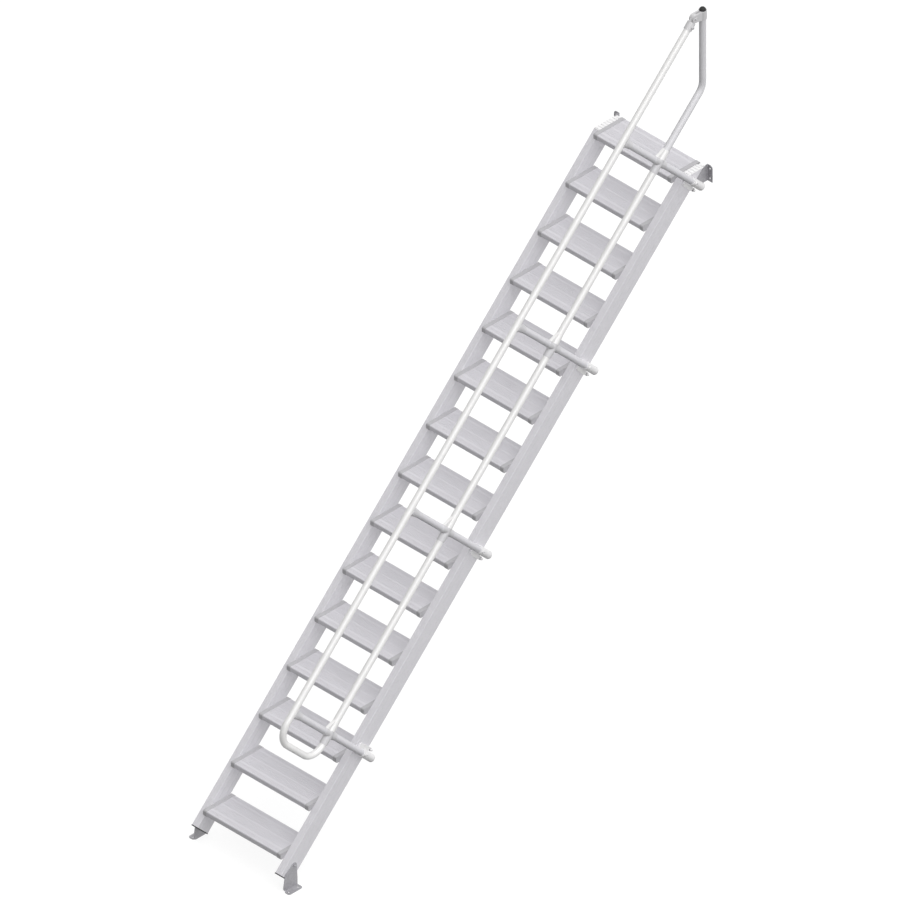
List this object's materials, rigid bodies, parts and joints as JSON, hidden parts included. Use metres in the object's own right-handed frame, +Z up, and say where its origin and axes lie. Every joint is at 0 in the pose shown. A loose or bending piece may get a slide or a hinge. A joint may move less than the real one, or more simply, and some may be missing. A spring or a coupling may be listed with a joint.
{
  "type": "steep aluminium wall stair",
  "caption": "Steep open aluminium stair with hollow side stringers, ribbed treads, wall and floor brackets and a tube handrail with knee rail on one side.",
  "frame": {"origin": "middle of the back face of the right-hand wall flange, in the plane of the wall", "axes": "+Z up, +Y up the stair and into the wall, +X to the climber's right"},
  "size_m": [0.793, 3.3383, 4.3385],
  "materials": {
    "stringer_aluminium": "extruded, drawn lines along it",
    "tread_aluminium": "extruded, fine ribs",
    "tube_aluminium": "satin anodised tube",
    "post_aluminium": "plain drawn tube",
    "bright_casting": "smooth bright casting",
    "cast_aluminium": "dull casting",
    "galvanised_steel": "dull galvanised",
    "black_plastic": "matt moulded",
    "grey_plastic": "matt moulded"
  },
  "bodies": {
    "root": {"stringer_left": "stringer_aluminium", "stringer_right": "stringer_aluminium", "stringer_bottom_cap_left": "black_plastic", "stringer_bottom_cap_right": "black_plastic", "stringer_top_cap_left": "grey_plastic", "stringer_top_cap_right": "grey_plastic", "tread_01": "tread_aluminium", "tread_02": "tread_aluminium", "tread_03": "tread_aluminium", "tread_04": "tread_aluminium", "tread_05": "tread_aluminium", "tread_06": "tread_aluminium", "tread_07": "tread_aluminium", "tread_08": "tread_aluminium", "tread_09": "tread_aluminium", "tread_10": "tread_aluminium", "tread_11": "tread_aluminium", "tread_12": "tread_aluminium", "tread_13": "tread_aluminium", "tread_14": "tread_aluminium", "tread_15": "tread_aluminium", "tread_shoes_left": "cast_aluminium", "tread_shoes_right": "cast_aluminium", "foot_bracket_left": "galvanised_steel", "foot_bracket_right": "galvanised_steel", "wall_bracket_left": "galvanised_steel", "wall_bracket_right": "galvanised_steel", "top_rail": "tube_aluminium", "end_bow": "tube_aluminium", "knee_rail": "tube_aluminium", "end_tube": "post_aluminium", "post_1": "post_aluminium", "post_2": "post_aluminium", "post_3": "post_aluminium", "post_4": "post_aluminium", "post_plugs": "bright_casting", "post_clamps": "bright_casting", "rail_tees": "cast_aluminium", "knee_rail_fittings": "cast_aluminium", "swivel_sleeve": "cast_aluminium", "swivel_clamp": "cast_aluminium", "swivel_bolt": "galvanised_steel", "rail_end_cap": "black_plastic"}
  },
  "joints": []
}
